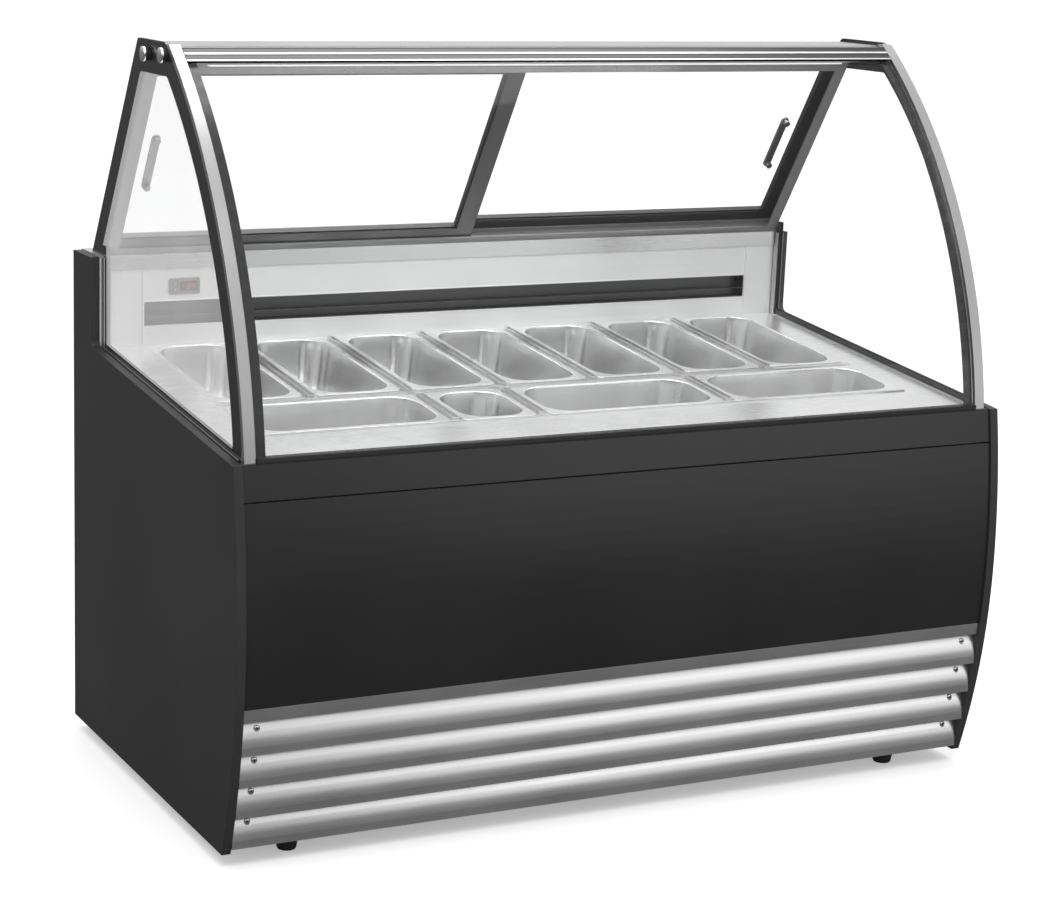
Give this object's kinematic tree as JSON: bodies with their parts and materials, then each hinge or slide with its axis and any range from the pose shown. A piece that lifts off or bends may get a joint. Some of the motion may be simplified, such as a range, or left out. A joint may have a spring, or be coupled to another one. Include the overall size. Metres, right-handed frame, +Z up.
{
  "type": "ice cream dipping cabinet",
  "caption": "Refrigerated ice cream dipping cabinet with curved lift-up front glass, sliding rear doors, two rows of lift-out pans, black body panels and an aluminium slatted kick plate.",
  "frame": {"origin": "centre of the cabinet's footprint at floor level", "axes": "+X along the counter to the customer's right, -Y towards the customer, +Z up"},
  "size_m": [1.5, 0.84, 1.328],
  "materials": {
    "frame_steel": "satin",
    "side_paint": "matte",
    "front_paint": "satin",
    "slat_aluminium": "brushed",
    "screw_steel": "polished",
    "stainless": "brushed",
    "liner": "satin",
    "pan_steel": "satin",
    "duct_dark": "satin",
    "controller_grey": "satin",
    "display": "gloss",
    "clear_glass": "clear",
    "black_print": "gloss",
    "bright_aluminium": "brushed",
    "rail_aluminium": "brushed",
    "lamp": "gloss",
    "bolt_chrome": "polished",
    "handle_metal": "satin",
    "seal_rubber": "matte",
    "machine_black": "gloss",
    "coil": "satin",
    "fan_plastic": "matte",
    "pipe_plastic": "matte",
    "foot_black": "matte"
  },
  "bodies": {
    "cabinet": {"base_frame": "frame_steel", "left_side_panel": "side_paint", "right_side_panel": "side_paint", "upper_fascia": "front_paint", "lower_front_panel": "front_paint", "kick_plate": "slat_aluminium", "kick_slats": "slat_aluminium", "panel_screws": "screw_steel", "rear_panel": "side_paint", "column_cap": "stainless", "insulated_tank": "liner", "pan_deck": "stainless", "pan_rails": "stainless", "inner_back_wall": "stainless", "air_outlet": "duct_dark", "controller_body": "controller_grey", "controller_display": "display", "left_end_glass": "clear_glass", "right_end_glass": "clear_glass", "end_glass_borders": "black_print", "edge_profiles": "bright_aluminium", "glass_channels": "bright_aluminium", "top_beam": "bright_aluminium", "light_tube": "lamp", "glass_bolts": "bolt_chrome", "door_frame": "rail_aluminium", "front_gasket": "seal_rubber", "compressor": "machine_black", "condenser_coil": "coil", "fan_shroud": "machine_black", "evaporator_coil": "coil", "drain_pipe": "pipe_plastic"},
    "front_canopy": {"front_glass": "clear_glass", "front_glass_border": "black_print", "front_glass_hinge_rail": "rail_aluminium"},
    "left_door": {"left_door_glass": "clear_glass", "left_door_rails": "rail_aluminium", "left_door_handle": "handle_metal"},
    "right_door": {"right_door_glass": "clear_glass", "right_door_rails": "rail_aluminium", "right_door_handle": "handle_metal"},
    "up_button": {"controller_up_button": "controller_grey"},
    "down_button": {"controller_down_button": "controller_grey"},
    "fan_rotor": {"condenser_fan": "fan_plastic"},
    "body_rear_pan_1": {"rear_pan_1": "pan_steel"},
    "body_rear_pan_2": {"rear_pan_2": "pan_steel"},
    "body_rear_pan_3": {"rear_pan_3": "pan_steel"},
    "body_rear_pan_4": {"rear_pan_4": "pan_steel"},
    "body_rear_pan_5": {"rear_pan_5": "pan_steel"},
    "body_rear_pan_6": {"rear_pan_6": "pan_steel"},
    "body_rear_pan_7": {"rear_pan_7": "pan_steel"},
    "body_front_pan_1": {"front_pan_1": "pan_steel"},
    "body_front_pan_2": {"front_pan_2": "pan_steel"},
    "body_front_pan_3": {"front_pan_3": "pan_steel"},
    "body_dipper_well": {"dipper_well": "pan_steel"},
    "levelling_foot_front_left": {"foot_front_left": "foot_black"},
    "levelling_foot_front_right": {"foot_front_right": "foot_black"},
    "levelling_foot_rear_left": {"foot_rear_left": "foot_black"},
    "levelling_foot_rear_right": {"foot_rear_right": "foot_black"}
  },
  "joints": [
    {"name": "front_glass_hinge", "type": "hinge", "parent": "cabinet", "child": "front_canopy", "pos_m": [0, -0.0144, 1.3125], "axis": [-1, 0, 0], "range_deg": [0, 60]},
    {"name": "left_door_slide", "type": "slide", "parent": "cabinet", "child": "left_door", "axis": [1, 0, 0], "range_m": [0, 0.68]},
    {"name": "right_door_slide", "type": "slide", "parent": "cabinet", "child": "right_door", "axis": [-1, 0, 0], "range_m": [0, 0.68]},
    {"name": "up_button_press", "type": "slide", "parent": "cabinet", "child": "up_button", "axis": [0, 1, 0], "range_m": [0, 0.001], "stiffness_N_per_m": 600},
    {"name": "down_button_press", "type": "slide", "parent": "cabinet", "child": "down_button", "axis": [0, 1, 0], "range_m": [0, 0.001], "stiffness_N_per_m": 600},
    {"name": "condenser_fan_spin", "type": "hinge", "parent": "cabinet", "child": "fan_rotor", "pos_m": [0.366, 0.33, 0.232], "axis": [0, -1, 0], "continuous": true},
    {"name": "rear_pan_1_lift", "type": "slide", "parent": "cabinet", "child": "body_rear_pan_1", "axis": [0, -0.0981, 0.9952], "range_m": [0, 0.15]},
    {"name": "rear_pan_2_lift", "type": "slide", "parent": "cabinet", "child": "body_rear_pan_2", "axis": [0, -0.0981, 0.9952], "range_m": [0, 0.15]},
    {"name": "rear_pan_3_lift", "type": "slide", "parent": "cabinet", "child": "body_rear_pan_3", "axis": [0, -0.0981, 0.9952], "range_m": [0, 0.15]},
    {"name": "rear_pan_4_lift", "type": "slide", "parent": "cabinet", "child": "body_rear_pan_4", "axis": [0, -0.0981, 0.9952], "range_m": [0, 0.15]},
    {"name": "rear_pan_5_lift", "type": "slide", "parent": "cabinet", "child": "body_rear_pan_5", "axis": [0, -0.0981, 0.9952], "range_m": [0, 0.15]},
    {"name": "rear_pan_6_lift", "type": "slide", "parent": "cabinet", "child": "body_rear_pan_6", "axis": [0, -0.0981, 0.9952], "range_m": [0, 0.15]},
    {"name": "rear_pan_7_lift", "type": "slide", "parent": "cabinet", "child": "body_rear_pan_7", "axis": [0, -0.0981, 0.9952], "range_m": [0, 0.15]},
    {"name": "front_pan_1_lift", "type": "slide", "parent": "cabinet", "child": "body_front_pan_1", "axis": [0, -0.0981, 0.9952], "range_m": [0, 0.15]},
    {"name": "front_pan_2_lift", "type": "slide", "parent": "cabinet", "child": "body_front_pan_2", "axis": [0, -0.0981, 0.9952], "range_m": [0, 0.15]},
    {"name": "front_pan_3_lift", "type": "slide", "parent": "cabinet", "child": "body_front_pan_3", "axis": [0, -0.0981, 0.9952], "range_m": [0, 0.15]},
    {"name": "dipper_well_lift", "type": "slide", "parent": "cabinet", "child": "body_dipper_well", "axis": [0, -0.0981, 0.9952], "range_m": [0, 0.15]},
    {"name": "foot_front_left_adjust", "type": "slide", "parent": "cabinet", "child": "levelling_foot_front_left", "axis": [0, 0, -1], "range_m": [0, 0.012]},
    {"name": "foot_front_right_adjust", "type": "slide", "parent": "cabinet", "child": "levelling_foot_front_right", "axis": [0, 0, -1], "range_m": [0, 0.012]},
    {"name": "foot_rear_left_adjust", "type": "slide", "parent": "cabinet", "child": "levelling_foot_rear_left", "axis": [0, 0, -1], "range_m": [0, 0.012]},
    {"name": "foot_rear_right_adjust", "type": "slide", "parent": "cabinet", "child": "levelling_foot_rear_right", "axis": [0, 0, -1], "range_m": [0, 0.012]}
  ]
}
